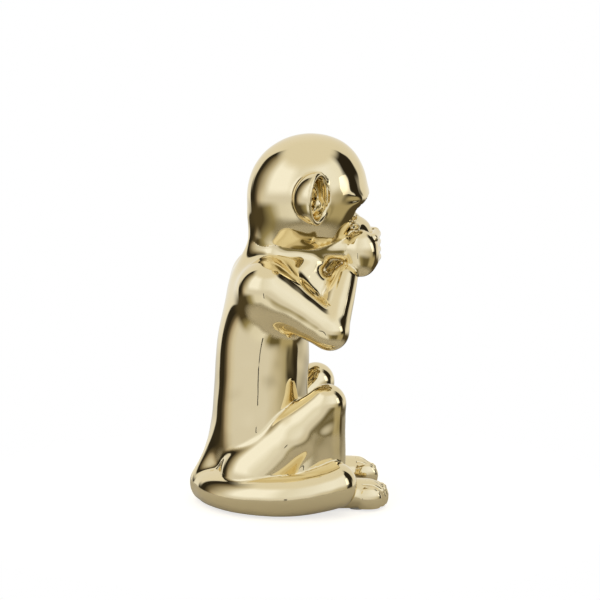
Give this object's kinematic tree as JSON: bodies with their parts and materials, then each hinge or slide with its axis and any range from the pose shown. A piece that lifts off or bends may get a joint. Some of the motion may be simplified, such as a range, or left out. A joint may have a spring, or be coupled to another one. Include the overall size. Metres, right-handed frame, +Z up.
{
  "type": "monkey figurine",
  "caption": "Seated monkey ornament in gold-plated ceramic with its hands over its mouth and its tail wrapped round its right side; stands on small rubber bumpers.",
  "frame": {"origin": "middle of the footprint's box, on the surface that the bumpers stand on", "axes": "+Z up; the figure looks along -Y and its left side is +X"},
  "size_m": [0.0974, 0.1072, 0.1992],
  "materials": {
    "gold_plated_ceramic": "bright gold electroplate over glaze",
    "bisque_ceramic": "unglazed fired clay",
    "bumper_rubber": "translucent matt"
  },
  "bodies": {
    "root": {"base_disc": "bisque_ceramic", "head_shell": "gold_plated_ceramic", "left_arm": "gold_plated_ceramic", "left_ear": "gold_plated_ceramic", "left_foot": "gold_plated_ceramic", "left_front_bumper": "bumper_rubber", "left_hand": "gold_plated_ceramic", "left_leg": "gold_plated_ceramic", "left_rear_bumper": "bumper_rubber", "right_arm": "gold_plated_ceramic", "right_ear": "gold_plated_ceramic", "right_foot": "gold_plated_ceramic", "right_front_bumper": "bumper_rubber", "right_hand": "gold_plated_ceramic", "right_leg": "gold_plated_ceramic", "right_rear_bumper": "bumper_rubber", "tail": "gold_plated_ceramic", "torso_shell": "gold_plated_ceramic"}
  },
  "joints": []
}
